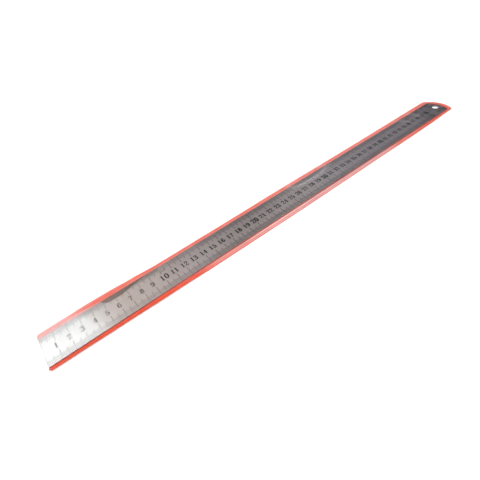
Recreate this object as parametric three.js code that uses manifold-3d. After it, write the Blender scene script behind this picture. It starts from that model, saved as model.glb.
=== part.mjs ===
// A 50 cm steel ruler in its welded plastic sleeve: a clear front sheet on a coloured back sheet.
// All lengths are in millimetres. +X runs along the scale, from the zero end to the round end.
// +Y runs across the blade, away from the reader, and +Z up, out of the graduated face.
// The origin is the middle of the sleeve's underside, on the surface that it lies on.
import * as THREE from 'three';
import { mergeVertices } from 'three/addons/utils/BufferGeometryUtils.js';
import Module from 'manifold-3d';

const wasm = await Module();
wasm.setup();

// Blade: a flat steel strip, square at the zero end and rounded at the end that hangs.
const scaleLength = 500;
const tailLength = 32.5; // from the last graduation to the crown of the round end
const bladeWidth = 28;
const bladeThickness = 1;
const bladeEndRise = 4.8; // how far the round end's crown stands beyond its corners
const hangingHoleDiameter = 8;
const hangingHoleInset = 9; // from the crown to the middle of the hole

// Graduations: lines scribed into the upper face, each from one long edge inwards.
const division = 1;
const divisionsPerMediumLine = 5;
const divisionsPerLongLine = 10;
const fineScaleLength = 100; // this much of the far edge is scribed at half divisions too
const halfDivisionLineLength = 3.4;
const divisionLineLength = 5.3;
const mediumLineLength = 7.4;
const longLineLength = 9.4;
const stopLineInset = 6.7; // the line that closes the fine scale lies this far from the edge
const stopLineLength = 5;
const lineWidth = 0.2;
const lineDepth = 0.05;

// Sleeve: two sheets, welded face to face round three sides and open at the zero end.
const sheetThickness = 0.3;
const weldWidth = 4; // from the pocket's foot to the cut edge, along the two long sides
const endWeldWidth = 5.7; // the same, from the pocket's crown to the sleeve's
const sleeveEndRise = 9.8;
const mouthLip = 0.6; // how far the mouth stands out beyond the zero end
const mouthCornerRadius = 2;
const weldLineInset = 2.2; // from the cut edge to the pressed line of the weld
const weldLineWidth = 0.8;
const weldLineDepth = 0.1;

// Clearances between the blade and its pocket.
const sheetClearance = 0.1; // above the blade, and below it
const sideClearance = 0.5; // at each long edge, under the flat of the front sheet
const crownClearance = 1.5; // beyond the round end
const shoulderRun = 0.9; // how far the front sheet slopes outwards on its way down to the weld
const sleeveHoleClearance = 0.5; // the sheets' holes are this much wider, on the radius

// A cut runs this far past what it cuts. A scribed line runs past its ends by a share of its length,
// and the V that cuts it stands above the face by a share of its depth.
const overrun = 1;
const lineOverrunShare = 0.05;
const vHeightShare = 1.5;

// Facets of the round stretches.
const endFacets = 28;
const holeFacets = 40;
const cornerFacets = 6;

// Worked out from the dimensions above.
const bladeLength = scaleLength + tailLength;
const bladeEndRadius = arcRadius(bladeWidth / 2, bladeEndRise);
const pocketHeight = bladeThickness + 2 * sheetClearance;
const footOffset = sideClearance + shoulderRun;
const pocketCrownX = mouthLip + bladeLength + crownClearance;
const sleeveHalfWidth = bladeWidth / 2 + footOffset + weldWidth;
const sleeveLength = pocketCrownX + shoulderRun + endWeldWidth;
const sleeveEndRadius = arcRadius(sleeveHalfWidth, sleeveEndRise);
const holeX = bladeLength - hangingHoleInset;
const sleeveHoleRadius = hangingHoleDiameter / 2 + sleeveHoleClearance;

// Radius of the arc that stands `rise` beyond a chord of twice `halfWidth`.
function arcRadius(halfWidth, rise) {
  return (halfWidth ** 2 + rise ** 2) / (2 * rise);
}

// A closed geometry as a solid that can be joined and cut.
function solidFrom(geometry) {
  const bare = geometry.index ? geometry.toNonIndexed() : geometry.clone();
  bare.deleteAttribute('normal');
  bare.deleteAttribute('uv');
  const merged = mergeVertices(bare, 1e-5);
  return new wasm.Manifold(
    new wasm.Mesh({
      numProp: 3,
      vertProperties: merged.attributes.position.array,
      triVerts: new Uint32Array(merged.index.array),
    }),
  );
}

// A solid back as a geometry with flat facets.
function geometryFrom(solid) {
  const { vertProperties, triVerts } = solid.getMesh();
  const indexed = new THREE.BufferGeometry();
  indexed.setAttribute('position', new THREE.BufferAttribute(new Float32Array(vertProperties), 3));
  indexed.setIndex(new THREE.BufferAttribute(new Uint32Array(triVerts), 1));
  const geometry = indexed.toNonIndexed();
  geometry.computeVertexNormals();
  return geometry;
}

// Corner positions of a body's triangles, in order, turned over as a whole where they face inwards.
function facetPositions(corners, triangles) {
  const vectors = corners.map((corner) => new THREE.Vector3(...corner));
  const volume = triangles.reduce((sum, [a, b, c]) => {
    return sum + vectors[a].dot(vectors[b].clone().cross(vectors[c]));
  }, 0);
  const outward = volume > 0 ? triangles : triangles.map(([a, b, c]) => [a, c, b]);
  return outward.flat().flatMap((i) => corners[i]);
}

function geometryOf(positions) {
  const geometry = new THREE.BufferGeometry();
  geometry.setAttribute('position', new THREE.Float32BufferAttribute(positions, 3));
  return geometry;
}

// Appends an arc to a path as straight facets, so that like outlines have as many points.
function addArc(path, centreX, centreY, radius, from, to, facets) {
  for (let i = 0; i <= facets; i += 1) {
    const angle = from + ((to - from) * i) / facets;
    const x = centreX + radius * Math.cos(angle);
    const y = centreY + radius * Math.sin(angle);
    if (path.curves.length === 0 && i === 0) {
      path.moveTo(x, y);
    } else {
      path.lineTo(x, y);
    }
  }
}

// Outline that is square or rounded at startX and ends in an arc whose crown is at crownX.
function roundEndOutline(halfWidth, startX, crownX, endRadius, cornerRadius = 0) {
  const halfAngle = Math.asin(halfWidth / endRadius);
  const outline = new THREE.Shape();
  if (cornerRadius > 0) {
    const cornerX = startX + cornerRadius;
    const cornerY = halfWidth - cornerRadius;
    addArc(outline, cornerX, cornerY, cornerRadius, Math.PI / 2, Math.PI, cornerFacets);
    addArc(outline, cornerX, -cornerY, cornerRadius, Math.PI, 1.5 * Math.PI, cornerFacets);
  } else {
    outline.moveTo(startX, halfWidth);
    outline.lineTo(startX, -halfWidth);
  }
  addArc(outline, crownX - endRadius, 0, endRadius, -halfAngle, halfAngle, endFacets);
  outline.closePath();
  return outline;
}

function roundHole(centreX, radius) {
  const hole = new THREE.Path();
  addArc(hole, centreX, 0, radius, 0, 2 * Math.PI * (1 - 1 / holeFacets), holeFacets - 1);
  hole.closePath();
  return hole;
}

// The flat plate inside an outline, from height `bottom` to height `top`.
function plate(outline, bottom, top) {
  const geometry = new THREE.ExtrudeGeometry(outline, { depth: top - bottom, bevelEnabled: false });
  return solidFrom(geometry.translate(0, 0, bottom));
}

// A solid whose sides slope from one outline to another that has as many points.
function slopedPlate(lowerOutline, bottom, upperOutline, top) {
  const lower = lowerOutline.getPoints();
  const upper = upperOutline.getPoints();
  const corners = [
    ...lower.map((point) => [point.x, point.y, bottom]),
    ...upper.map((point) => [point.x, point.y, top]),
  ];
  const count = lower.length;
  const triangles = [];
  for (const [a, b, c] of THREE.ShapeUtils.triangulateShape(lower, [])) {
    triangles.push([c, b, a], [a + count, b + count, c + count]);
  }
  for (let i = 0; i < count; i += 1) {
    const next = (i + 1) % count;
    triangles.push([i, next, next + count], [i, next + count, i + count]);
  }
  return solidFrom(geometryOf(facetPositions(corners, triangles)));
}

// The V that cuts one scribed line from `start` to `end` on the blade's face. A line that fades
// is deepest and widest at its start, and its floor rises to the face at its end.
function scribedLine(start, end, startShare, fades) {
  const along = end.clone().sub(start);
  const across = new THREE.Vector2(-along.y, along.x).setLength(lineWidth / 2);
  const corner = (share, heightShare, side) => {
    const depthShare = fades ? 1 - share : 1;
    const point = start.clone().addScaledVector(along, share);
    point.addScaledVector(across, side * heightShare);
    return [point.x, point.y, bladeThickness + lineDepth * (heightShare - depthShare)];
  };
  const section = (share) => [
    corner(share, 0, 0),
    corner(share, vHeightShare, -1),
    corner(share, vHeightShare, 1),
  ];
  if (fades) {
    const corners = [...section(startShare), corner(1 + lineOverrunShare, 0, 0)];
    return facetPositions(corners, [[0, 2, 1], [0, 1, 3], [1, 2, 3], [2, 0, 3]]);
  }
  const caps = [[0, 2, 1], [3, 4, 5]];
  const sides = [[0, 1, 4], [0, 4, 3], [1, 2, 5], [1, 5, 4], [2, 0, 3], [2, 3, 5]];
  return facetPositions([...section(startShare), ...section(1)], [...caps, ...sides]);
}

// One graduation at x, from the far edge (side 1) or the near edge (side -1) inwards.
function graduation(x, side, length, fades) {
  const edgeY = (side * bladeWidth) / 2;
  const start = new THREE.Vector2(x, edgeY);
  const end = new THREE.Vector2(x, edgeY - side * length);
  return scribedLine(start, end, -lineOverrunShare, fades);
}

// The long and medium lines end square. The short ones fade out, as a graver leaves them.
function graduations() {
  const positions = [];
  const count = Math.round(scaleLength / division);
  for (const side of [1, -1]) {
    for (let i = 1; i <= count; i += 1) {
      const long = i % divisionsPerLongLine === 0;
      const medium = i % divisionsPerMediumLine === 0;
      const shortOrMedium = medium ? mediumLineLength : divisionLineLength;
      positions.push(...graduation(i * division, side, long ? longLineLength : shortOrMedium, !medium));
    }
  }
  for (let x = division / 2; x < fineScaleLength; x += division) {
    positions.push(...graduation(x, 1, halfDivisionLineLength, true));
  }
  return solidFrom(geometryOf(positions));
}

// The short line across the graduations' tips that closes the fine scale.
function stopLine() {
  const y = bladeWidth / 2 - stopLineInset;
  const start = new THREE.Vector2(fineScaleLength, y);
  const end = new THREE.Vector2(fineScaleLength + stopLineLength, y);
  return solidFrom(geometryOf(scribedLine(start, end, 0, false)));
}

function rulerBlade() {
  const outline = roundEndOutline(bladeWidth / 2, 0, bladeLength, bladeEndRadius);
  outline.holes.push(roundHole(holeX, hangingHoleDiameter / 2));
  return plate(outline, 0, bladeThickness).subtract(graduations()).subtract(stopLine());
}

// The outline of the sleeve, set in by `inset` from its cut edge on the three welded sides.
function sleeveOutline(inset, startX, cornerRadius) {
  const radius = sleeveEndRadius - inset;
  return roundEndOutline(sleeveHalfWidth - inset, startX, sleeveLength - inset, radius, cornerRadius);
}

// The blade's outline grown by `offset`: the pocket at one height.
function pocketOutline(offset, crownX, startX) {
  return roundEndOutline(bladeWidth / 2 + offset, startX, crownX, bladeEndRadius + offset);
}

function sleeveBack() {
  const outline = sleeveOutline(0, 0, mouthCornerRadius);
  outline.holes.push(roundHole(mouthLip + holeX, sleeveHoleRadius));
  return plate(outline, 0, sheetThickness);
}

// The raised pocket as a closed block, from `bottom` up, standing `skin` outside the inner faces.
function pocketBlock(bottom, skin, startX) {
  const top = sheetThickness + pocketHeight + skin;
  const crownX = pocketCrownX + skin;
  return slopedPlate(
    pocketOutline(footOffset + skin, crownX + shoulderRun, startX),
    bottom,
    pocketOutline(sideClearance + skin, crownX, startX),
    top,
  );
}

// The line that the welding tool presses into the front sheet, half way across the weld.
function weldLine(weldTop) {
  const outer = sleeveOutline(weldLineInset, -overrun);
  const inner = sleeveOutline(weldLineInset + weldLineWidth, -2 * overrun);
  const ring = plate(outer, weldTop - weldLineDepth, weldTop + overrun);
  return ring.subtract(plate(inner, 0, weldTop + 2 * overrun));
}

// The front sheet lies on the back sheet along the weld and rises in a flat-topped pocket between.
function sleeveFront() {
  const weldTop = 2 * sheetThickness;
  const outline = sleeveOutline(0, 0, mouthCornerRadius);
  const hole = new THREE.Shape(roundHole(mouthLip + holeX, sleeveHoleRadius).getPoints());
  return plate(outline, sheetThickness, weldTop)
    .subtract(weldLine(weldTop))
    .add(pocketBlock(sheetThickness, sheetThickness, 0))
    .subtract(pocketBlock(sheetThickness, 0, -overrun))
    .subtract(plate(hole, 0, weldTop + pocketHeight + overrun));
}

function namedMesh(name, solid, material) {
  const mesh = new THREE.Mesh(geometryFrom(solid), material);
  mesh.name = name;
  return mesh;
}

const steel = new THREE.MeshStandardMaterial({ color: 0x9a9390, roughness: 0.34, metalness: 1 });
const colouredSheet = new THREE.MeshStandardMaterial({ color: 0xf0563c, roughness: 0.32, metalness: 0 });
const clearSheet = new THREE.MeshStandardMaterial({
  color: 0xe9edee,
  roughness: 0.12,
  metalness: 0,
  transparent: true,
  opacity: 0.25,
});

const sleeve = new THREE.Group();
sleeve.position.x = -sleeveLength / 2;
sleeve.add(namedMesh('sleeve_back', sleeveBack(), colouredSheet));
sleeve.add(namedMesh('sleeve_front', sleeveFront(), clearSheet));

const blade = namedMesh('ruler_blade', rulerBlade(), steel);
blade.position.set(mouthLip - sleeveLength / 2, 0, sheetThickness + sheetClearance);

const rulerInSleeve = new THREE.Group();
rulerInSleeve.add(blade, sleeve);

export default rulerInSleeve;
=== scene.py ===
# %% [markdown]
# A 50 centimetre steel rule in its vinyl sleeve.
# The rule is a strip of stainless steel with scribed and blackened lines. The sleeve is
# two sheets of soft vinyl, a clear one in front and an orange one behind, welded along
# three sides. The solid model gives every size, and these cells give the finish: the
# steel's grain, the black filling, the waves of the film and the light that shows them.

# %% Load the solid model
import math
from collections import Counter

import bmesh
import bpy
from mathutils import Matrix, Vector
from mathutils.geometry import convex_hull_2d, delaunay_2d_cdt


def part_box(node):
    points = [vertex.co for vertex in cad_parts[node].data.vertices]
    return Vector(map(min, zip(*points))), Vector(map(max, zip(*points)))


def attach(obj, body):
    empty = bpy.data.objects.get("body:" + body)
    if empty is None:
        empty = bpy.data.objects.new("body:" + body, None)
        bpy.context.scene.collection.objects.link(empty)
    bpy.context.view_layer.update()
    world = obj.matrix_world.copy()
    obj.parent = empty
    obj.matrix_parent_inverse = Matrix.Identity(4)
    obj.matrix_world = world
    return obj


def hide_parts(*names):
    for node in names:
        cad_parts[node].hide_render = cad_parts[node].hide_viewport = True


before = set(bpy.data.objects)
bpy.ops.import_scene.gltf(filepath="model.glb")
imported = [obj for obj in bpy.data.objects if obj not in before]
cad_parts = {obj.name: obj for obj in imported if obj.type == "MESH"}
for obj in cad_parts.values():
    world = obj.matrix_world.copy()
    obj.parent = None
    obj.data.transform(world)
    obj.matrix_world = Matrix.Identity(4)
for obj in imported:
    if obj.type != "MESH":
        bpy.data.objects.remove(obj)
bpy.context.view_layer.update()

# %% [markdown]
# Blender counts in metres and a rule is read in millimetres, so one value turns the one
# into the other. The sizes of the three pieces could be typed in here again. They are
# read from the solid model instead, so that everything made below follows it.

# %% Sizes read from the solid model
MM = 0.001
blade_low, blade_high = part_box("ruler_blade")
back_low, back_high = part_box("sleeve_back")
front_low, front_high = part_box("sleeve_front")
zero_x = blade_low.x
blade_top = blade_high.z
blade_half_width = blade_high.y
mouth_x = front_low.x
sleeve_crown_x = front_high.x
sleeve_half_width = front_high.y


def in_mm(*corners):
    """The coordinates of some corners in millimetres, rounded for printing."""
    return [round(v / MM, 2) for corner in corners for v in corner]


print("blade", in_mm(blade_low, blade_high))
print("back sheet", in_mm(back_low, back_high))
print("front sheet", in_mm(front_low, front_high))

# %% [markdown]
# Colours are written as the hex values that a painter or a web page would use, and one
# function turns them into the linear numbers that light is counted in. Every material
# is a small tree of nodes. It could be drawn by hand in the shader editor. Here one
# helper adds a node, sets its values and joins it to the nodes before it, so a material
# reads from top to bottom as a recipe.

# %% Colour helper
def paint(code):
    """Linear red, green, blue and alpha of an sRGB hex colour."""
    shares = [int(code[i : i + 2], 16) / 255 for i in (0, 2, 4)]
    linear = [s / 12.92 if s <= 0.04045 else ((s + 0.055) / 1.055) ** 2.4 for s in shares]
    return (*linear, 1.0)


print("a middle grey of 808080 is", round(paint("808080")[0], 3), "in linear light")


# %% Node helpers
def node(tree, kind, values=None, links=None, stops=(), **settings):
    """Adds a node with its settings, colour stops, input values and the links into them."""
    made = tree.nodes.new("ShaderNode" + kind)
    for name, value in settings.items():
        setattr(made, name, value)
    for i, (position, code) in enumerate(stops):
        ramp = made.color_ramp.elements
        stop = ramp[i] if i < len(ramp) else ramp.new(position)
        stop.position = position
        stop.color = paint(code)
    for name, value in (values or {}).items():
        made.inputs[name].default_value = value
    for name, source in (links or {}).items():
        tree.links.new(source, made.inputs[name])
    return made


def new_material(name):
    """An empty material and its tree."""
    material = bpy.data.materials.new(name)
    material.use_nodes = True
    material.node_tree.nodes.clear()
    return material, material.node_tree


def finish_with(material, shader):
    """Joins the last shader of a material's tree to its surface."""
    node(material.node_tree, "OutputMaterial", links={"Surface": shader})
    print(material.name, "is made of", len(material.node_tree.nodes), "nodes")


# %% [markdown]
# The photograph looks down on the zero end from close by, with a short lens, so the
# rule runs away from the eye and shrinks to half its width. A camera needs three
# things for that: where it stands, the point that it looks at and how far it leans.
# They could be judged by eye. Fitting the ends and the numbered lines of the rule gives
# them far more closely.

# %% Camera
camera_place = Vector((-213.88, -187.53, 207.86)) * MM
camera_aim = Vector((-96.48, -10.66, 1.4)) * MM
camera_roll = math.radians(-7.975)
camera_lens = 24.51

camera_data = bpy.data.cameras.new("camera")
camera_data.type = "PERSP"
camera_data.sensor_width = 36
camera_data.lens = camera_lens
camera_data.clip_start = 10 * MM
camera_data.clip_end = 60
camera = bpy.data.objects.new("camera", camera_data)
look = (camera_aim - camera_place).to_track_quat("-Z", "Y").to_matrix().to_4x4()
lean = Matrix.Rotation(camera_roll, 4, "Z")
camera.matrix_world = Matrix.Translation(camera_place) @ look @ lean
bpy.context.scene.collection.objects.link(camera)
bpy.context.scene.camera = camera
print("camera stands", round((camera_aim - camera_place).length / MM), "mm from its aim")

# %% [markdown]
# The floor is a sheet of white studio paper. A photographer would curve it up behind
# the object to hide its edge. Here the room beyond it is white to the camera, so one
# large flat face is enough. Its tooth is far too fine to see and is drawn 2 millimetres
# coarse, and it is lit until it is pure white, as in the photograph.

# %% Floor
floor_half_size = 9.0
floor_drop = 0.02 * MM
paper_tooth = 2 * MM
whites = ((0, "F3F2F1"), (1, "F8F7F6"))

floor_mesh = bpy.data.meshes.new("floor")
corners = [(-1, -1), (1, -1), (1, 1), (-1, 1)]
corners = [(x * floor_half_size, y * floor_half_size, -floor_drop) for x, y in corners]
floor_mesh.from_pydata(corners, [], [(0, 1, 2, 3)])
floor = bpy.data.objects.new("floor", floor_mesh)
bpy.context.scene.collection.objects.link(floor)

floor_paper, tree = new_material("studio_paper")
place = node(tree, "TexCoord").outputs["Object"]
tooth = node(tree, "TexNoise", {"Scale": 1 / paper_tooth, "Detail": 2}, {"Vector": place})
shade = node(tree, "ValToRGB", None, {"Fac": tooth.outputs["Fac"]}, whites)
paper = node(
    tree,
    "BsdfPrincipled",
    {"Roughness": 0.9, "Specular IOR Level": 0.2},
    {"Base Color": shade.outputs["Color"]},
)
finish_with(floor_paper, paper.outputs[0])
floor_mesh.materials.append(floor_paper)

# %% [markdown]
# Soft studio light: one very broad lamp overhead whitens the paper, and a softbox
# stands on the far left, where the zero end mirrors it. A small pale screen on the far
# right does the same, very weakly, for the middle of the rule. One dome of even light
# would be simpler, but then the steel would show no change from end to end. The overhead
# lamp gives light only: what the steel mirrors above it is the ceiling, which comes next.

# %% Overhead lamp
overhead_strength = 2.05
overhead_width = math.radians(64)
overhead_tilt = math.radians(8)

overhead_data = bpy.data.lights.new("overhead", "SUN")
overhead_data.energy = overhead_strength
overhead_data.angle = overhead_width
overhead = bpy.data.objects.new("overhead", overhead_data)
overhead.rotation_euler = (overhead_tilt, 0, 0)
overhead.visible_glossy = False
bpy.context.scene.collection.objects.link(overhead)
print("the overhead lamp is", round(math.degrees(overhead_width)), "degrees wide")


# %% Softbox and screen
def panel_light(name, aim, azimuth, elevation, distance, size, power):
    """A flat lamp that faces a point, seen from it at this azimuth and elevation in degrees."""
    turn, lift = math.radians(azimuth), math.radians(elevation)
    flat = math.cos(lift)
    away = Vector((math.sin(turn) * flat, math.cos(turn) * flat, math.sin(lift))) * distance
    data = bpy.data.lights.new(name, "AREA")
    data.shape = "RECTANGLE"
    data.size, data.size_y = size
    data.energy = power
    lamp = bpy.data.objects.new(name, data)
    lamp.location = aim + away
    lamp.rotation_euler = (-away).to_track_quat("-Z", "Y").to_euler()
    bpy.context.scene.collection.objects.link(lamp)
    print(name, "is lit with", power, "watts from", distance, "metres")
    return lamp


zero_end = Vector((zero_x, 0, blade_top))
softbox = panel_light(
    "softbox", zero_end, azimuth=-34, elevation=55, distance=1.5, size=(1.1, 1.2), power=9.0
)
softbox.data.color = paint("F1FCFF")[:3]
middle = Vector((0, 0, blade_top))
panel_light(
    "screen", middle, azimuth=55, elevation=50, distance=2.0, size=(0.55, 0.55), power=1.5
)

# %% [markdown]
# Polished or satin metal shows little but its surroundings, so the room matters as much
# as the steel. It could be built of real walls and screens. Two colour ramps that read
# how high a direction points are quicker to tune and never get in the way of a view. One
# is for the pale side: a pale ceiling over walls that get dimmer towards the floor. The
# other is for a dark wall on the far right, which the far end of the rule mirrors. The
# camera itself sees white, so that the paper goes on without an edge.

# %% Walls of the room
dark_side = math.radians(55)
dark_from, dark_to = 0.45, 0.8
pale_walls = ((0.0, "848489"), (0.34, "828287"), (0.6, "BCB3AE"))
pale_walls += ((0.8, "EADFDA"), (1.0, "FFFCFA"))
dark_wall = ((0.0, "4A494F"), (0.38, "34333A"), (0.42, "636979"), (0.54, "666C7C"))
dark_wall += ((0.66, "4D5059"), (0.71, "7A7B83"), (0.79, "E6E7ED"), (1.0, "FAFBFF"))

world = bpy.data.worlds.new("room")
world.use_nodes = True
tree = world.node_tree
tree.nodes.clear()
towards = node(tree, "TexCoord").outputs["Generated"]
high = node(tree, "SeparateXYZ", links={0: towards}).outputs["Z"]
pale = node(tree, "ValToRGB", None, {"Fac": high}, pale_walls)
dark = node(tree, "ValToRGB", None, {"Fac": high}, dark_wall)
side = node(
    tree,
    "VectorMath",
    {1: (math.cos(dark_side), math.sin(dark_side), 0)},
    {0: towards},
    operation="DOT_PRODUCT",
)
turned = node(
    tree,
    "MapRange",
    {"From Min": dark_from, "From Max": dark_to},
    {"Value": side.outputs["Value"]},
    interpolation_type="SMOOTHSTEP",
)
walls = node(
    tree,
    "Mix",
    None,
    {"Factor": turned.outputs[0], "A": pale.outputs["Color"], "B": dark.outputs["Color"]},
    data_type="RGBA",
)
print("stations of the pale and the dark wall", len(pale_walls), len(dark_wall))

# %% Light of the room
room_strength = 1.09

ray = node(tree, "LightPath").outputs["Is Camera Ray"]
seen = node(
    tree,
    "Mix",
    {"B": paint("FFFFFF")},
    {"Factor": ray, "A": walls.outputs["Result"]},
    data_type="RGBA",
)
light = node(
    tree, "Background", {"Strength": room_strength}, {"Color": seen.outputs["Result"]}
)
node(tree, "OutputWorld", links={"Surface": light.outputs[0]})
bpy.context.scene.world = world
bpy.context.scene.view_settings.view_transform = "Standard"
print("the room is made of", len(tree.nodes), "nodes")

# %% [markdown]
# The blade is stainless steel, rolled and then brushed along its length with a fine
# belt. Brushing gives it a satin face: it mirrors the room as broad soft patches and
# not as a picture. A shader can stretch its reflections by itself, but then no single
# scratch is seen. A noise that is stretched along the rule gives scratches that change
# the colour, the roughness and the relief together. Real grain is far finer than a
# pixel, so it is drawn coarser here.

# %% Grain of the brushed steel
grain_width = 0.35 * MM
grain_length = 25 * MM
grain_low, grain_high = 0.3, 0.7
greys = ((grain_low, "C3C1C0"), (grain_high, "D5D5D4"))
satin_range = {"To Min": 0.37, "To Max": 0.43}

steel, tree = new_material("brushed_stainless_steel")
place = node(tree, "TexCoord").outputs["Object"]
across = node(tree, "SeparateXYZ", links={0: place})
spacing = (1 / grain_length, 1 / grain_width, 1 / grain_width)
along = node(tree, "Mapping", {"Scale": spacing}, {"Vector": place})
grain = node(
    tree,
    "TexNoise",
    {"Scale": 1, "Detail": 3, "Roughness": 0.6},
    {"Vector": along.outputs[0]},
)
colour = node(tree, "ValToRGB", None, {"Fac": grain.outputs["Fac"]}, greys)
satin = node(
    tree,
    "MapRange",
    {"From Min": grain_low, "From Max": grain_high, **satin_range},
    {"Value": grain.outputs["Fac"]},
)
print("a scratch is about", round(grain_length / grain_width), "times as long as wide")

# %% [markdown]
# Along the rule the steel's colour carries a painted reflection of the room: it is
# cast warm beyond the zero end and cool towards the round end. It could be a second
# glossy layer. A cast this faint needs no more than one scale of colours along the
# rule, which multiplies the steel's own.

# %% Painted reflection along the rule
painted_reflection_casts = ((0.06, "F9F6F5"), (0.12, "F3E4DD"), (0.18, "FFF0EA"), (0.25, "FFF4F3"))
painted_reflection_casts += ((0.29, "FAEFEC"), (0.34, "F2E8E5"), (0.42, "F2E8E5"), (0.47, "F8EEEB"))
painted_reflection_casts += ((0.56, "FCF5F6"), (1.0, "F9F2F2"))

reach = node(
    tree,
    "MapRange",
    {"From Min": zero_x, "From Max": blade_high.x},
    {"Value": across.outputs["X"]},
)
# painted reflection: a tone along the rule that multiplies the steel's colour
painted_reflection_cast = node(tree, "ValToRGB", None, {"Fac": reach.outputs[0]}, painted_reflection_casts)
colour = node(
    tree,
    "Mix",
    {"Factor": 1},
    {"A": colour.outputs["Color"], "B": painted_reflection_cast.outputs["Color"]},
    data_type="RGBA",
    blend_type="MULTIPLY",
)
print("the film's cast has", len(painted_reflection_casts), "stations")

# %% [markdown]
# By the far edge, where the soft vinyl has clung to the steel, a greasy smear fills the
# grain, and there the steel mirrors more sharply. Its colour is darker there too, which
# is painted shade. Its rim could be painted on a picture. Here a curve gives how far it
# reaches in from the edge at each place along it, as pairs of a share of its length and
# a share of its widest reach.

# %% Outline of the smear
shaded_smear_start = zero_x + 46 * MM
shaded_smear_length = 58 * MM
shaded_smear_reach = 6.2 * MM
shaded_smear_outline = ((0, 0), (0.02, 0), (0.05, 0.2), (0.1, 0.65), (0.17, 0.9), (0.28, 0.94))
shaded_smear_outline += ((0.41, 0.75), (0.5, 0.58), (0.59, 0.4), (0.68, 0.24), (0.78, 0.12))
shaded_smear_outline += ((0.93, 0), (1, 0))

share = node(
    tree,
    "MapRange",
    {"From Min": shaded_smear_start, "From Max": shaded_smear_start + shaded_smear_length},
    {"Value": across.outputs["X"]},
)
outline = node(tree, "FloatCurve", links={"Value": share.outputs[0]})
for spot in shaded_smear_outline[1:-1]:
    outline.mapping.curves[0].points.new(*spot)
outline.mapping.curves[0].points[-1].location = shaded_smear_outline[-1]
outline.mapping.update()
rim = node(
    tree,
    "Math",
    {1: -shaded_smear_reach, 2: blade_half_width},
    {0: outline.outputs[0]},
    operation="MULTIPLY_ADD",
)
beyond = node(
    tree, "Math", links={0: across.outputs["Y"], 1: rim.outputs[0]}, operation="SUBTRACT"
)
print("the smear's rim runs through", len(outline.mapping.curves[0].points), "points")

# %% Greasy smear by the far edge, with painted shade
shaded_smear_softness = 0.9 * MM
smear_roughness = 0.22

shaded_smear = node(tree, "MapRange", {"From Max": shaded_smear_softness}, {"Value": beyond.outputs[0]})
# painted shade: inside the smear the steel's colour darkens towards A0897F
darkened_colour = node(
    tree,
    "Mix",
    {"B": paint("A0897F")},
    {"Factor": shaded_smear.outputs[0], "A": colour.outputs["Result"]},
    data_type="RGBA",
)
finish = node(
    tree,
    "Mix",
    {"B": smear_roughness},
    {"Factor": shaded_smear.outputs[0], "A": satin.outputs[0]},
    data_type="FLOAT",
)
print("roughness falls from", satin_range["To Min"], "to", smear_roughness, "in the smear")

# %% [markdown]
# Round the hanging hole, where the rule is held, the grain is polished a little, and the
# steel's colour is darker in soft blotches. They could be drawn one by one. A soft noise
# gives them about 7 millimetres across, and it fades in towards the round end.

# %% Handled end
handled_start = zero_x + 480 * MM
handled_end = zero_x + 505 * MM
handled_polish = 0.05
blotch_size = 7 * MM
blotch_range = {"From Min": 0.45, "From Max": 0.65, "To Max": 0.55}

handled = node(
    tree,
    "MapRange",
    {"From Min": handled_start, "From Max": handled_end},
    {"Value": across.outputs["X"]},
)
finish = node(
    tree,
    "Math",
    {1: -handled_polish},
    {0: handled.outputs[0], 2: finish.outputs[0]},
    operation="MULTIPLY_ADD",
)
blotch_noise = node(tree, "TexNoise", {"Scale": 1 / blotch_size, "Detail": 2}, {"Vector": place})
blotched = node(tree, "MapRange", blotch_range, {"Value": blotch_noise.outputs["Fac"]})
darker_blotch = node(
    tree, "Math", links={0: handled.outputs[0], 1: blotched.outputs[0]}, operation="MULTIPLY"
)
# darker blotches in the steel's colour, fading in towards the round end
darkened_colour = node(
    tree,
    "Mix",
    {"B": paint("6B6265")},
    {"Factor": darker_blotch.outputs[0], "A": darkened_colour.outputs["Result"]},
    data_type="RGBA",
)
print("smudges begin", round((blade_high.x - handled_start) / MM, 1), "mm from the end")

# %% [markdown]
# All of this meets in one metal shader: the darkened colour with its painted shade and
# painted reflection, the roughness, and the grain once more as relief. The scratches
# could be carved into the blade, but at less than a thousandth of a millimetre deep
# they only turn the light.

# %% Brushed stainless steel
grain_depth = 0.4e-3 * MM

relief = node(
    tree,
    "Bump",
    {"Strength": 0.5, "Distance": grain_depth},
    {"Height": grain.outputs["Fac"]},
)
steel_face = node(
    tree,
    "BsdfPrincipled",
    {"Metallic": 1.0},
    {
        "Base Color": darkened_colour.outputs["Result"],
        "Roughness": finish.outputs[0],
        "Normal": relief.outputs[0],
    },
)
finish_with(steel, steel_face.outputs[0])

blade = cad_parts["ruler_blade"]
blade.data.materials.clear()
blade.data.materials.append(steel)

# %% [markdown]
# The scribed lines are filled with black enamel, wiped flush with the steel. Near the
# zero end the filling is painted grey, fading to black from 5 to 11 centimetres: a
# painted highlight for the glare that lies over the lines there. Enamel is a hard gloss
# paint, but in a groove this fine only its matt rubbed top is seen. Its speckle is drawn
# at 0.3 millimetres, as coarse as it needs to show.

# %% Black enamel
painted_glare_full_to = zero_x + 50 * MM
painted_glare_gone_from = zero_x + 110 * MM
speckle_size = 0.3 * MM
blacks = ((0, "0B0A0A"), (1, "1A1817"))
matt_range = {"To Min": 0.6, "To Max": 0.75}

enamel, tree = new_material("black_enamel")
place = node(tree, "TexCoord").outputs["Object"]
speckle = node(tree, "TexNoise", {"Scale": 1 / speckle_size, "Detail": 2}, {"Vector": place})
colour = node(tree, "ValToRGB", None, {"Fac": speckle.outputs["Fac"]}, blacks)
matt = node(tree, "MapRange", matt_range, {"Value": speckle.outputs["Fac"]})
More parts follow.
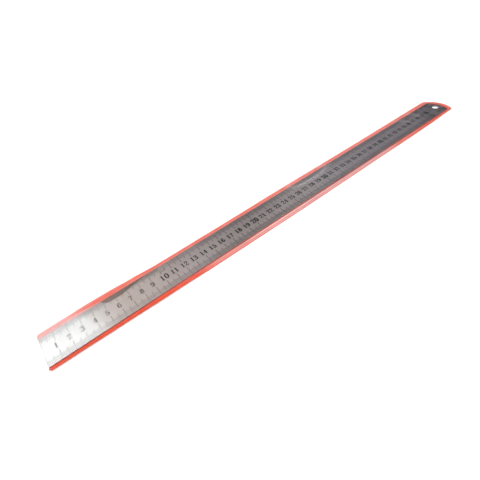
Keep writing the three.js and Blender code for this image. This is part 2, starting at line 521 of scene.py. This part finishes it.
# painted highlight: the filling turns grey towards the zero end
painted_glare = node(
    tree,
    "MapRange",
    {"From Min": painted_glare_full_to, "From Max": painted_glare_gone_from, "To Min": 1, "To Max": 0},
    {"Value": node(tree, "SeparateXYZ", links={0: place}).outputs["X"]},
)
colour = node(
    tree,
    "Mix",
    {"B": paint("625E5C")},
    {"Factor": painted_glare.outputs[0], "A": colour.outputs["Color"]},
    data_type="RGBA",
)
enamel_face = node(
    tree,
    "BsdfPrincipled",
    {"IOR": 1.5, "Specular IOR Level": 0.15},
    {"Base Color": colour.outputs["Result"], "Roughness": matt.outputs[0]},
)
finish_with(enamel, enamel_face.outputs[0])

# %% [markdown]
# The rule carries millimetres along both edges, with a longer line at every fifth and
# the longest at every tenth, half millimetres over the first ten centimetres of the far
# edge, and a short stop line where they end. The lines could be a pattern in the
# steel's colour, but then they would blur when seen from close by. Each is a thin bar
# that lies in its groove. The die has marked the steel most boldly between 15 and 23
# centimetres, and by the near edge the filling has crept a little over the grooves'
# rims. Each pair below is the length and the width of a line in millimetres.

# %% Lengths and widths of the lines
scale_length = 500
fine_scale_length = 100
half_line = (3.4, 0.2)
division_line = (5.3, 0.24)
medium_line = (7.4, 0.34)
long_line = (9.4, 0.38)
stop_line = (5.0, 0.55)
stop_inset = 6.7
heavy_from = 145
heavy_to = 232
heavy_stamp = 1.16
near_row_spread = 1.2


def stamp_weight(place):
    """How boldly the die has marked the steel at this place."""
    return heavy_stamp if heavy_from < place < heavy_to else 1


def line_at(place):
    """Length and width of the line at this place."""
    if place % 10 == 0:
        return long_line
    if place % 5 == 0:
        return medium_line
    return division_line if place % 1 == 0 else half_line


print("the lines at 0, 5, 1 and 0.5 mm are", [line_at(place) for place in (0, 5, 1, 0.5)])

# %% Bars in the grooves
half_width = blade_half_width / MM
top = blade_top / MM
edge_gap = 0.05
enamel_proud = 0.012
enamel_depth = 0.03
bar_faces = ((3, 2, 1, 0), (4, 5, 6, 7), (0, 1, 5, 4), (1, 2, 6, 5), (2, 3, 7, 6), (3, 0, 4, 7))


def bar(mesh, x_range, y_range):
    """Adds a closed bar of filling, placed in millimetres from the zero line."""
    (x0, x1), (y0, y1) = x_range, y_range
    corner = []
    for z in (top - enamel_depth, top + enamel_proud):
        for x, y in ((x0, y0), (x1, y0), (x1, y1), (x0, y1)):
            corner.append(mesh.verts.new(((x + zero_x / MM) * MM, y * MM, z * MM)))
    for face in bar_faces:
        mesh.faces.new([corner[i] for i in face])


def filled_line(mesh, place, width, y_range):
    """Adds the bar of one line. The line at zero is cut off by the blade's end."""
    bar(mesh, (max(place - width / 2, 0), place + width / 2), y_range)


def piece_from(mesh, name, material, body):
    """Makes an object of a mesh, gives it its material and lets it ride on a body."""
    data = bpy.data.meshes.new(name)
    mesh.to_mesh(data)
    mesh.free()
    data.materials.append(material)
    made = bpy.data.objects.new(name, data)
    bpy.context.scene.collection.objects.link(made)
    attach(made, body)
    return made


# %% Scribed lines
outer = half_width - edge_gap
lines = bmesh.new()
for step in range(2 * scale_length + 1):
    place = step / 2
    reach, width = line_at(place)
    width *= stamp_weight(place)
    inner = half_width - reach
    if place % 1 == 0 or place < fine_scale_length:
        filled_line(lines, place, width, (inner, outer))
    if place % 1 == 0:
        filled_line(lines, place, width * near_row_spread, (-outer, -inner))
stop_y = half_width - stop_inset
reach, width = stop_line
stop_x_range = (fine_scale_length, fine_scale_length + reach)
bar(lines, stop_x_range, (stop_y - width / 2, stop_y + width / 2))
print(len(lines.faces) // len(bar_faces), "scribed lines")
piece_from(lines, "graduation_ink", enamel, "ruler")

# %% [markdown]
# The numbers are in the fat and thin style that engravers have used on rules for two
# hundred years: heavy uprights, hairline crossings, ball ends. A text object could give
# plain figures, but a broad flat nib makes this style by itself, so each one is drawn
# here as a few nib strokes. Every short step of a stroke is the hull of the nib at its
# two ends. A first triangulation joins the overlapping steps, and the edges that only
# one triangle uses are the outline. A second one fills that outline again with as few
# triangles as it needs.

# %% Nib strokes
def curve(*points):
    """A smooth run through the points, as short straight steps."""
    steps = 5
    ends = [points[0], *points, points[-1]]
    run = []
    for a, b, c, d in zip(ends, ends[1:], ends[2:], ends[3:]):
        for i in range(steps):
            t = i / steps
            weights = (
                (-t + 2 * t**2 - t**3) / 2,
                (2 - 5 * t**2 + 3 * t**3) / 2,
                (t + 4 * t**2 - 3 * t**3) / 2,
                (-(t**2) + t**3) / 2,
            )
            pulls = list(zip(weights, (a, b, c, d)))
            run.append(tuple(sum(w * p[k] for w, p in pulls) for k in (0, 1)))
    return [*run, points[-1]]


def ring(centre, radii):
    """A closed oval."""
    steps = 28
    turn = [2 * math.pi * i / steps for i in range(steps + 1)]
    (x, y), (wide, tall) = centre, radii
    return [(x + wide * math.cos(a), y + tall * math.sin(a)) for a in turn]


def swept(path, nib):
    """The hulls that a nib of these half sizes covers as it runs along the path."""
    nib_corners = 12
    turn = [2 * math.pi * (i + 0.5) / nib_corners for i in range(nib_corners)]
    shape = [(nib[0] * math.cos(a), nib[1] * math.sin(a)) for a in turn]
    hulls = []
    for a, b in zip(path, path[1:]):
        points = [(p[0] + x, p[1] + y) for p in (a, b) for x, y in shape]
        hulls.append([points[i] for i in convex_hull_2d(points)])
    return hulls


# %% [markdown]
# Each figure is drawn in a box 0.6 wide and 1 high, with its foot on the line at 0. A
# stroke is a path and the half sizes of the nib that draws it: a broad one for stems, a
# thin one for hairlines, a round one for the balls. The nine is the six turned round.

# %% Ten figures
stem = (0.108, 0.036)
hair = (0.048, 0.036)
foot = (0.05, 0.062)
ball = (0.075, 0.075)
six = [
    (curve((0.47, 0.84), (0.37, 0.96), (0.25, 0.92), (0.13, 0.7), (0.1, 0.4)), stem),
    (curve((0.1, 0.4), (0.16, 0.12), (0.3, 0.03)), stem),
    (curve((0.3, 0.03), (0.46, 0.14), (0.5, 0.31), (0.45, 0.5), (0.31, 0.6), (0.16, 0.5)), stem),
    (curve((0.46, 0.83), (0.45, 0.81)), ball),
]
figures = {
    "0": [(ring((0.3, 0.5), (0.2, 0.465)), stem)],
    "1": [
        (curve((0.3, 0.05), (0.3, 0.95)), stem),
        (curve((0.29, 0.95), (0.2, 0.87), (0.1, 0.84)), hair),
        (curve((0.1, 0.03), (0.5, 0.03)), hair),
    ],
    "2": [
        (curve((0.12, 0.72), (0.16, 0.9), (0.29, 0.96), (0.44, 0.88), (0.47, 0.72)), stem),
        (curve((0.47, 0.72), (0.4, 0.52), (0.2, 0.28), (0.09, 0.06)), (0.07, 0.03)),
        (curve((0.09, 0.1), (0.2, 0.13), (0.36, 0.06), (0.47, 0.07)), foot),
        (curve((0.47, 0.07), (0.53, 0.13), (0.54, 0.26)), hair),
        (curve((0.14, 0.73), (0.15, 0.72)), ball),
    ],
    "3": [
        (curve((0.12, 0.8), (0.19, 0.93), (0.3, 0.96), (0.43, 0.88), (0.45, 0.74)), stem),
        (curve((0.45, 0.74), (0.38, 0.6), (0.25, 0.54)), stem),
        (curve((0.25, 0.54), (0.42, 0.47), (0.49, 0.3)), stem),
        (curve((0.49, 0.3), (0.43, 0.11), (0.28, 0.03), (0.15, 0.06), (0.1, 0.18)), stem),
        (curve((0.13, 0.78), (0.14, 0.77)), ball),
        (curve((0.13, 0.2), (0.14, 0.21)), ball),
    ],
    "4": [
        (curve((0.4, 0.05), (0.4, 0.95)), stem),
        (curve((0.38, 0.96), (0.05, 0.3)), hair),
        (curve((0.05, 0.28), (0.56, 0.28)), hair),
        (curve((0.25, 0.03), (0.56, 0.03)), hair),
    ],
    "5": [
        (curve((0.16, 0.92), (0.3, 0.88), (0.48, 0.93)), foot),
        (curve((0.14, 0.93), (0.12, 0.5)), hair),
        (curve((0.12, 0.5), (0.28, 0.6), (0.43, 0.52), (0.49, 0.33)), stem),
        (curve((0.49, 0.33), (0.43, 0.12), (0.28, 0.03), (0.1, 0.16)), stem),
        (curve((0.13, 0.2), (0.14, 0.21)), ball),
    ],
    "6": six,
    "7": [
        (curve((0.1, 0.88), (0.2, 0.93), (0.34, 0.86), (0.5, 0.93)), foot),
        (curve((0.08, 0.76), (0.1, 0.95)), hair),
        (curve((0.52, 0.93), (0.4, 0.66), (0.3, 0.4), (0.28, 0.07)), (0.075, 0.03)),
        (curve((0.27, 0.1), (0.28, 0.05)), (0.1, 0.05)),
    ],
    "8": [(ring((0.3, 0.75), (0.17, 0.215)), stem), (ring((0.3, 0.28), (0.2, 0.25)), stem)],
    "9": [([(0.6 - x, 1 - y) for x, y in path], nib) for path, nib in six],
}
print("strokes in the ten figures", [len(strokes) for strokes in figures.values()])


# %% Outlines of the figures
def outer_edges(triangles):
    """The edges that only one triangle uses, each as a pair of points."""
    edges = [pair for t in triangles for pair in zip(t, (*t[1:], t[0]))]
    uses = Counter(tuple(sorted(pair)) for pair in edges)
    return [pair for pair, count in uses.items() if count == 1]


def inside(point, hull):
    """Whether a point lies in a convex outline: it is then on the same side of each edge."""
    sides = set()
    for a, b in zip(hull, (*hull[1:], hull[0])):
        sides.add((Vector(b) - Vector(a)).cross(point - Vector(a)) > 0)
    return len(sides) == 1


def figure_outline(strokes, weight):
    """Points and triangles of a figure, with the overlaps of its strokes joined."""
    closest = 1e-5
    hulls = []
    for path, nib in strokes:
        hulls += swept(path, (nib[0] * weight, nib[1] * weight))
    points = [Vector(p) for hull in hulls for p in hull]
    starts = [sum(len(h) for h in hulls[:i]) for i in range(len(hulls))]
    faces = [list(range(start, start + len(hull))) for start, hull in zip(starts, hulls)]
    joined = delaunay_2d_cdt(points, [], faces, 0, closest)
    points, triangles, origins = joined[0], joined[2], joined[5]
    rim = outer_edges([t for t, origin in zip(triangles, origins) if origin])
    used = sorted({i for pair in rim for i in pair})
    rim = [(used.index(a), used.index(b)) for a, b in rim]
    refilled = delaunay_2d_cdt([points[i] for i in used], rim, [], 0, closest)
    points, triangles = refilled[0], refilled[2]
    filled = []
    for t in triangles:
        middle = (points[t[0]] + points[t[1]] + points[t[2]]) / 3
        if any(inside(middle, hull) for hull in hulls):
            filled.append(t)
    return points, filled


outlines = {}
for weight in (1, heavy_stamp):
    outlines[weight] = {name: figure_outline(strokes, weight) for name, strokes in figures.items()}
print("triangles in the ten figures", [len(t) for _, t in outlines[1].values()])

# %% [markdown]
# Each number stands between the two rows of lines. One figure alone stands to the left
# of its centimetre line, and a pair stands on both sides of it. The tens are larger.
# Enamel that fills a broad figure stands a hair above the steel, so the figures are
# thin solids and no picture is laid over the blade.

# %% Numbers
figure_width = 0.6
figure_height = 5.4
ten_height = 6.2
figure_foot_y = -2.5
ten_foot_y = -3.0
pair_gap = 0.3
pair_shift = 0.4
single_overhang = 0.8


def add_figure(mesh, name, left, base, height):
    """Adds one raised figure, with its left foot at this place."""
    points, triangles = outlines[stamp_weight(left)][name]
    flat = [(zero_x + (left + p.x * height) * MM, (base + p.y * height) * MM) for p in points]
    low = [mesh.verts.new((*p, blade_top - enamel_depth * MM)) for p in flat]
    high = [mesh.verts.new((*p, blade_top + enamel_proud * MM)) for p in flat]
    for t in triangles:
        mesh.faces.new([high[i] for i in t])
        mesh.faces.new([low[i] for i in reversed(t)])
    edges = dict.fromkeys(pair for t in triangles for pair in zip(t, (*t[1:], t[0])))
    for a, b in edges:
        if (b, a) not in edges:
            mesh.faces.new((high[b], high[a], low[a], low[b]))


numbers = bmesh.new()
for centimetre in range(1, scale_length // 10 + 1):
    place = centimetre * 10
    text = str(centimetre)
    large = centimetre % 10 == 0
    height = ten_height if large else figure_height
    base = ten_foot_y if large else figure_foot_y
    width = figure_width * height
    if len(text) == 1:
        add_figure(numbers, text, place - width + single_overhang, base, height)
    else:
        add_figure(numbers, text[0], place - width - pair_gap / 2 + pair_shift, base, height)
        add_figure(numbers, text[1], place + pair_gap / 2 + pair_shift, base, height)
loose = [v for v in numbers.verts if not v.link_faces]
bmesh.ops.delete(numbers, geom=loose, context="VERTS")
print(len(numbers.faces), "faces in the numbers")
piece_from(numbers, "numbers", enamel, "ruler")

# %% [markdown]
# The sleeve is a flat pouch of soft vinyl, welded along both long sides and round the
# far end, open at the zero end. Lying on a table it is never flat or straight: the
# welded margins curl up by a millimetre, and their cut edges wander in and out. It
# could be left to settle by simulation, but that ends where it likes. Both sheets are
# made from one map of the pouch. For any place on it, the map gives how far it is from
# the cut edge, how high the margin stands there and how far the front sheet bulges over
# the blade. Each pair below is a distance from the mouth and a value there.

# %% Runs between stations
def smooth(share):
    """0 below 0, 1 above 1 and a soft S between."""
    t = min(max(share, 0), 1)
    return t * t * (3 - 2 * t)


def value_at(stations, place):
    """The value between two stations, with a smooth run from one to the next."""
    for (x0, v0), (x1, v1) in zip(stations, stations[1:]):
        if place <= x1:
            return v0 + (v1 - v0) * smooth((place - x0) / (x1 - x0))
    return stations[-1][1]


# %% The margins' heights and cut edges
sheet_thickness = 0.3
weld_gap = 0.02
weld_width = 4.0
end_weld_width = 5.7
shoulder = 0.9
hinge_inset = 5.2
foot_height = 0.75
end_height = 0.9
far_heights = ((0, 0.85), (40, 0.8), (80, 0.75), (104, 0.55), (165, 0.55), (225, 0.7))
far_heights += ((340, 0.8), (541, 1.0))
near_heights = ((0, 1.7), (100, 1.6), (150, 1.0), (205, 0.6), (285, 0.7), (365, 0.9))
near_heights += ((420, 1.2), (541, 1.3))
far_cuts = ((0, 0.2), (20, 0.8), (42, 1.3), (60, 1.1), (80, 0.25), (104, -0.75))
far_cuts += ((165, -0.5), (210, -0.3), (232, 0.15), (300, 0.25), (350, 0.15))
far_cuts += ((400, 0.4), (460, 0.9), (541, 1.25))
near_cuts = ((0, -2.0), (20, -1.8), (50, -1.35), (100, -0.6), (150, 0.0), (190, 0.3))
near_cuts += ((250, 0.6), (310, 0.4), (390, 0.0), (450, 0.0), (490, -0.6), (541, -1.9))
margins = [round(value_at(heights, 100), 2) for heights in (far_heights, near_heights)]
print("far and near margin, 100 mm from the mouth, are joined at", margins, "mm")

# %% The outline of the pouch
end_rise = 9.8
corner_radius = 2.0
half = sleeve_half_width / MM
length = (sleeve_crown_x - mouth_x) / MM
end_radius = (half**2 + end_rise**2) / (2 * end_rise)
hinge_y = half - hinge_inset


def end_of(y):
    """Where the far end's cut edge is, from the mouth, on the line at this height y."""
    return length - (end_radius - math.sqrt(end_radius**2 - y**2))


def cut_edge(x, side):
    """How far the cut edge of this side is from the middle line."""
    reach = half + value_at(far_cuts if side > 0 else near_cuts, x)
    if x < corner_radius:
        reach -= corner_radius - math.sqrt(corner_radius**2 - (corner_radius - x) ** 2)
    return reach


def margin_y(x, side, inset):
    """Where a line of the margin runs. Insets count from the cut edge to the hinge."""
    return side * (hinge_y + (cut_edge(x, side) - hinge_y) * (1 - inset / hinge_inset))


print("the round end has a radius of", round(end_radius, 2), "mm")

# %% [markdown]
# The film over the blade lies on the steel in places and stands off it in others, so
# two slow waves lift it. By the far edge a shallow blister has left a low crease round
# itself, and towards the round end two ridges cross the film at a slant. They could be
# relief in the material, but only a real swelling catches the light at a low view.
# Along each of them a pale streak is painted into the film as well: painted highlight,
# beside the light that the swelling catches. Each ridge below is a place, a height,
# the reach of its two sides and a share of painted highlight, and each wave its length
# along and across and its start.

# %% Blister
blister_centre = (290, 14.0)
blister_size = (28, 7.5)
blister_height = 0.15
crease_height = 0.2
crease_width = 2.0


def blister_at(x, y):
    """How much of the blister's height and of its crease there is at this place."""
    wide, deep = blister_size
    tiny = 0.001
    u, v = (x - blister_centre[0]) / wide, (y - blister_centre[1]) / deep
    across = math.hypot(u, v) + tiny
    off_crease = (across - 1) * across / math.hypot(u / wide, v / deep, tiny)
    return smooth((1 - across) * 2), math.exp(-((off_crease / crease_width) ** 2))


at_rim = blister_at(blister_centre[0] + blister_size[0], blister_centre[1])
print("shares of swelling and crease at the blister's rim", [round(s, 2) for s in at_rim])

# %% Waves and ridges of the film
swell_height = 0.12
swell_waves = ((27, 9, 0), (11.3, -6, 2))
# shares of painted highlight on the crease, and on each ridge below
crease_highlight_paint = 0.07
ridges = ((234, 0.16, 4.0, 4.0, 0.012), (464, 0.45, 3.0, 4.5, 0.04), (488, 0.45, 3.2, 5.0, 0.04))
ridge_slant = 0.35
ridge_pivot_y = 6
ridge_start_y = -4
ridge_run_in = 8


def film_lift(x, y):
    """How far the front sheet stands off the steel, and its share of painted highlight there."""
    swell = 0.5
    for along, across, start in swell_waves:
        swell += 0.25 * math.sin(x / along + y / across + start)
    blister, crease = blister_at(x, y)
    lift = swell_height * swell + blister_height * blister + crease_height * crease
    pale_mix = crease_highlight_paint * crease
    for ridge_x, ridge_height, zero_side, far_side, ridge_highlight_paint in ridges:
        off = x - ridge_x + ridge_slant * (y - ridge_pivot_y)
        off /= zero_side if off < 0 else far_side
        ridge = math.exp(-(off**2)) * smooth((y - ridge_start_y) / ridge_run_in)
        lift += ridge_height * ridge
        pale_mix += ridge_highlight_paint * ridge
    return lift, pale_mix


print("the film stands off by", [round(film_lift(x, 10)[0], 2) for x in (100, 290, 464)], "mm")

# %% [markdown]
# The weld itself is a shallow channel that the hot bar has pressed into the margin.
# Beside it, pale veils of light are painted into the margins' colour: painted
# highlight. Where the margin was clamped flat it has kept its deep colour. A second
# material could colour the pale places, but its border would be sharp. A number for
# each point of the sheet fades: 0 is the deep dye, 1 the palest painted highlight, and
# a little more keeps a place pale all through.

# %% Weld channel
channel_inset = 2.2
channel_width = 1.0
channel_floor = 1.6
channel_flank = 1.1


def weld_channel(inset):
    """Share of the pressed channel's depth at this distance from the cut edge."""
    off = abs(inset - channel_inset) / (channel_width / 2)
    return smooth(channel_floor - off * channel_flank)


pressed = [i / 10 for i in range(50) if weld_channel(i / 10) > 0]
print("the channel runs from", pressed[0], "to", pressed[-1], "mm from the cut edge")

# %% Painted highlight on the margins
channel_clarity = 0.6
# painted highlight along the far and the near margin
far_painted_highlight = ((0, 1.05), (40, 1.0), (60, 0.36), (90, 0.38), (110, 0.42), (150, 0.42))
far_painted_highlight += ((215, 0.46), (260, 0.48), (300, 0.58), (400, 0.6), (541, 0.5))
near_painted_highlight = ((0, 0.04), (90, 0.06), (120, 0.16), (150, 0.76), (215, 0.98), (280, 1.15))
near_painted_highlight += ((345, 1.2), (385, 1.05), (420, 0.5), (445, 0.5), (485, 0.22), (541, 0.34))
highlight_slant = 4.9
highlight_fade = 0.8
clear_rim = 0.1
rim_fade = 0.7
mouth_highlight = 0.9
mouth_highlight_reach = 1.4


def haze_at(x, y, inset, end):
    """How much painted highlight the welded vinyl has at this distance from the cut edge and the
    end.
    """
    far_place = x + highlight_slant * max(y - hinge_y, 0)
    amount = value_at(far_painted_highlight, far_place) if y > 0 else value_at(near_painted_highlight, x)
    side_margin = smooth((hinge_inset - highlight_fade / 2 - inset) / highlight_fade)
    end_margin = smooth((end_weld_width + highlight_fade / 2 - end) / highlight_fade)
    edge = min(inset, end)
    shown = amount * max(side_margin, end_margin) * smooth((edge - clear_rim) / rim_fade)
    shown *= 1 - channel_clarity * weld_channel(edge)
    return max(shown, mouth_highlight * smooth(mouth_highlight_reach - x))


painted_highlight_mid = [round(haze_at(300, side * (half - 1), 1, 240), 2) for side in (-1, 1)]
print("milkiness of the near and the far margin in the middle", painted_highlight_mid)

# %% Heights of the two sheets
channel_depth = 0.05
film_gap = 0.1
panel_floor = top + film_gap


def sheet_heights(x, y, inset):
    """Heights of the front sheet's two faces and of the back sheet's two faces."""
    end = end_of(y) - x
    edge_height = value_at(far_heights if y > 0 else near_heights, x)
    side_share = min(max(1 - inset / weld_width, 0), 1)
    end_share = min(max(1 - end / end_weld_width, 0), 1)
    join = foot_height + (edge_height - foot_height) * side_share
    join += (end_height - foot_height) * end_share * (1 - side_share)
    past_side = inset - weld_width
    past_end = (end - end_weld_width) / shoulder
    up = smooth(min(past_side / shoulder, past_end))
    front = join + (panel_floor + film_lift(x, y)[0] - join) * up
    down = smooth(min(past_side / (hinge_inset - weld_width), past_end))
    back = join - weld_gap + (sheet_thickness - join + weld_gap) * down
    channel = channel_depth * weld_channel(min(inset, end))
    return front, front + sheet_thickness - channel, back - sheet_thickness, back


print("faces over the middle", [round(z, 2) for z in sheet_heights(length / 2, 0, half)], "mm")

# %% [markdown]
# Each sheet is a grid of points on both of its faces, closed round its rim. A plain
# plane with a thickness added by a modifier would be shorter, but it couldn't thin the
# vinyl in the channel. Rows and columns are close together over the weld and its
# shoulders, where the sheet bends, and wide apart where it lies smooth.

# %% Rows and columns of a sheet
edge_insets = (0, 0.12, 0.8, 1.6, 1.75, 1.9, 2.05, 2.2, 2.35, 2.5, 2.65, 2.8, 3.4, 4.0)
edge_insets += (4.15, 4.3, 4.45, 4.6, 4.75, 4.9, 5.2)
end_insets = (*edge_insets, 5.7, 5.85, 6.0, 6.15, 6.3, 6.45, 6.6, 7.5)
mouth_rows = (0, 0.08, 0.3, 0.7, 1.2, 2.0)
row_step = 2.0
column_step = 1.0


def columns():
    """The grid's columns: (side, inset) on the margins and (0, y) between them."""
    count = round(2 * hinge_y / column_step)
    between = [(0, -hinge_y + 2 * hinge_y * i / count) for i in range(1, count)]
    return [(-1, i) for i in edge_insets] + between + [(1, i) for i in reversed(edge_insets)]


def rows():
    """Distances of the grid's rows from the mouth, as shares of the length."""
    end = [length - i for i in reversed(end_insets)]
    start = mouth_rows[-1]
    count = round((end[0] - start) / row_step)
    middle = [start + (end[0] - start) * i / count for i in range(1, count)]
    return [d / length for d in (*mouth_rows, *middle, *end)]


print("a sheet has", len(rows()), "rows and", len(columns()), "columns")


# %% Sheets as closed grids
def close_grid(mesh, grid):
    """Adds the faces of a sheet: over, under and round the rim."""
    last_row = len(grid) - 1
    last_column = len(grid[0]) - 1
    for i in range(last_row):
        for j in range(last_column):
            a, b, c, d = grid[i][j], grid[i + 1][j], grid[i + 1][j + 1], grid[i][j + 1]
            mesh.faces.new((a[1], b[1], c[1], d[1]))
            mesh.faces.new((d[0], c[0], b[0], a[0]))
    rim = [(0, j) for j in range(last_column)] + [(i, last_column) for i in range(last_row)]
    rim += [(last_row, j) for j in range(last_column, 0, -1)]
    rim += [(i, 0) for i in range(last_row, 0, -1)]
    for (i, j), (k, l) in zip(rim, (*rim[1:], rim[0])):
        mesh.faces.new((grid[i][j][0], grid[i][j][1], grid[k][l][1], grid[k][l][0]))


def sheet(name, material, layer):
    """A closed sheet: layer 0 is the clear front one and layer 1 the dyed back one."""
    mesh = bmesh.new()
    painted_highlight = mesh.verts.layers.float.new("painted_highlight")
    welded = mesh.verts.layers.float.new("welded")
    grid = []
    for share in rows():
        line = []
        for side, value in columns():
            y = margin_y(share * length, side, value) if side else value
            inset = value if side else half - abs(value)
            x = share * end_of(y)
            low, high = sheet_heights(x, y, inset)[2 * layer : 2 * layer + 2]
            at = (mouth_x + x * MM, y * MM)
            pair = (mesh.verts.new((*at, low * MM)), mesh.verts.new((*at, high * MM)))
            end = end_of(y) - x
            # each point's share of painted highlight, on both sheets
            for vertex in pair:
                vertex[painted_highlight] = haze_at(x, y, inset, end) if layer else film_lift(x, y)[1]
            pair[layer][welded] = float(inset < weld_width or end < end_weld_width)
            line.append(pair)
        grid.append(line)
    close_grid(mesh, grid)
    return piece_from(mesh, name, material, "sleeve")


# %% [markdown]
# Both sheets are vinyl, a plastic of index 1.53, and their faces mirror a share of the
# light: 4.5 percent when seen head on, and all of it at a grazing look. A glass shader
# would also bend what is seen through the sheet, which a film this thin does not do.
# So the share is worked out here, from the facing value, which is alike on both sides
# of a sheet. In the weld no air is left between the two sheets, so the faces that meet
# there mirror nothing.

# %% Mirror share of the vinyl
head_on_mirror = 0.045
grazing_power = 5.0


def mirror_share(tree):
    """Adds the nodes that give the share of light which a face of the vinyl mirrors."""
    facing = node(tree, "LayerWeight", {"Blend": 0.5}).outputs["Facing"]
    steep = node(tree, "Math", {1: grazing_power}, {0: facing}, operation="POWER")
    mirror = node(
        tree,
        "Math",
        {1: 1 - head_on_mirror, 2: head_on_mirror},
        {0: steep.outputs[0]},
        operation="MULTIPLY_ADD",
    )
    joined = node(tree, "Attribute", attribute_name="welded").outputs["Fac"]
    free = node(tree, "Math", {0: 1.0}, {1: joined}, operation="SUBTRACT")
    met = {0: mirror.outputs[0], 1: free.outputs[0]}
    return node(tree, "Math", links=met, operation="MULTIPLY").outputs[0]


# %% [markdown]
# The front sheet is clear vinyl, rolled to a film. A gloss plastic shader with full
# transmission would do for a thick sheet. Light goes straight through this thin one,
# and what it mirrors is softened by a faint pebble from the rollers. A soft cloud dims
# it by a few percent, as old softener does. Along the creases and ridges a trace of
# white scatter takes the place of the clear film: a painted highlight.

# %% Clear vinyl
pebble_size = 6 * MM
cloud_size = 13 * MM
casts = ((0.35, "FBFBFB"), (0.65, "FEFEFE"))
gloss_range = {"To Min": 0.06, "To Max": 0.14}

clear_vinyl, tree = new_material("clear_vinyl")
place = node(tree, "TexCoord").outputs["Object"]
pebble = node(tree, "TexNoise", {"Scale": 1 / pebble_size, "Detail": 2}, {"Vector": place})
gloss = node(tree, "MapRange", gloss_range, {"Value": pebble.outputs["Fac"]})
cloud = node(
    tree,
    "TexNoise",
    {"Scale": 1 / cloud_size, "Detail": 3, "Roughness": 0.6},
    {"Vector": place},
)
cast = node(tree, "ValToRGB", None, {"Fac": cloud.outputs["Fac"]}, casts)
clear = node(tree, "BsdfTransparent", links={"Color": cast.outputs["Color"]})
# painted highlight: white diffuse colour along the creases and ridges
pale_mix = node(tree, "BsdfDiffuse", {"Color": paint("F4F1F4")})
creased = node(tree, "Attribute", attribute_name="painted_highlight").outputs["Fac"]
body = node(tree, "MixShader", links={0: creased, 1: clear.outputs[0], 2: pale_mix.outputs[0]})
shine = node(tree, "BsdfGlossy", {"Color": paint("FFFFFF")}, {"Roughness": gloss.outputs[0]})
faces = {0: mirror_share(tree), 1: body.outputs[0], 2: shine.outputs[0]}
finish_with(clear_vinyl, node(tree, "MixShader", links=faces).outputs[0])

# %% [markdown]
# The back sheet is the same vinyl with an orange-red dye and a little white filler. It
# lets some light through to the table and scatters the rest, so it glows over white
# paper. True scattering inside the sheet would be slow and no different in one this
# thin, so a clear tint and a matt colour share it. One colour scale runs from the deep
# dye, the vinyl's own colour, over a pale orange to a cool pink, which are painted
# highlight, and the map of the pouch says where each is. A cloudy noise moves the place
# on the scale a little, as filler is never mixed evenly.

# %% Orange vinyl
filler_size = 9 * MM
filler_range = {"To Min": -0.12, "To Max": 0.12}
filler_share = 0.8
# the deep dye, then the pale colours of the painted highlight
dye_to_highlight = ((0.0, "E75739"), (0.5, "E48E84"), (1.0, "DCB5B5"))

orange_vinyl, tree = new_material("orange_vinyl")
place = node(tree, "TexCoord").outputs["Object"]
cloud = node(tree, "TexNoise", {"Scale": 1 / filler_size, "Detail": 3}, {"Vector": place})
uneven = node(tree, "MapRange", filler_range, {"Value": cloud.outputs["Fac"]})
# painted highlight from the map of the pouch
painted_highlight = node(tree, "Attribute", attribute_name="painted_highlight").outputs["Fac"]
pale_mix = node(tree, "Math", links={0: painted_highlight, 1: uneven.outputs[0]}, operation="ADD")
colour = node(tree, "ValToRGB", None, {"Fac": pale_mix.outputs[0]}, dye_to_highlight)
tint = node(tree, "BsdfTransparent", {"Color": paint("FF9A82")})
filler = node(tree, "BsdfDiffuse", links={"Color": colour.outputs["Color"]})
both = {1: tint.outputs[0], 2: filler.outputs[0]}
body = node(tree, "MixShader", {0: filler_share}, both)
shine = node(tree, "BsdfGlossy", {"Color": paint("FFFFFF"), "Roughness": 0.12})
faces = {0: mirror_share(tree), 1: body.outputs[0], 2: shine.outputs[0]}
finish_with(orange_vinyl, node(tree, "MixShader", links=faces).outputs[0])

# %% Two welded sheets
front = sheet("front_sheet", clear_vinyl, 0)
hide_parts("sleeve_front")
back = sheet("back_sheet", orange_vinyl, 1)
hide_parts("sleeve_back")
print("sheets of", len(front.data.polygons), "and", len(back.data.polygons), "faces")

# %% [markdown]
# A punch has cut the hanging hole through both sheets, a little wider than the one in
# the steel. The hole could be left out of the grid, but its rim would follow the grid's
# squares. A cutter with many sides gives a round one, as the punch did, and the edges
# that stay sharp are marked by their angle.

# %% Punched hole
hole_inset = 9 * MM
hole_radius = 4.5 * MM
hole_sides = 48
cutter_depth = 12 * MM
sharp_angle = math.radians(40)


def punch(piece):
    """Cuts the hanging hole through a sheet and keeps the result as its mesh."""
    mesh = bmesh.new()
    bmesh.ops.create_cone(
        mesh,
        cap_ends=True,
        segments=hole_sides,
        radius1=hole_radius,
        radius2=hole_radius,
        depth=cutter_depth,
        matrix=Matrix.Translation((blade_high.x - hole_inset, 0, blade_top)),
    )
    data = bpy.data.meshes.new("punch")
    mesh.to_mesh(data)
    mesh.free()
    cutter = bpy.data.objects.new("punch", data)
    bpy.context.scene.collection.objects.link(cutter)
    cut = piece.modifiers.new("hole", "BOOLEAN")
    cut.object = cutter
    cut.operation = "DIFFERENCE"
    cut.solver = "EXACT"
    seen = piece.evaluated_get(bpy.context.evaluated_depsgraph_get())
    done = bpy.data.meshes.new_from_object(seen)
    piece.modifiers.remove(cut)
    piece.data = done
    bpy.data.objects.remove(cutter)
    done.polygons.foreach_set("use_smooth", [True] * len(done.polygons))
    done.set_sharp_from_angle(angle=sharp_angle)
    print(piece.name, len(done.polygons), "faces after the punch")


for piece in (front, back):
    punch(piece)
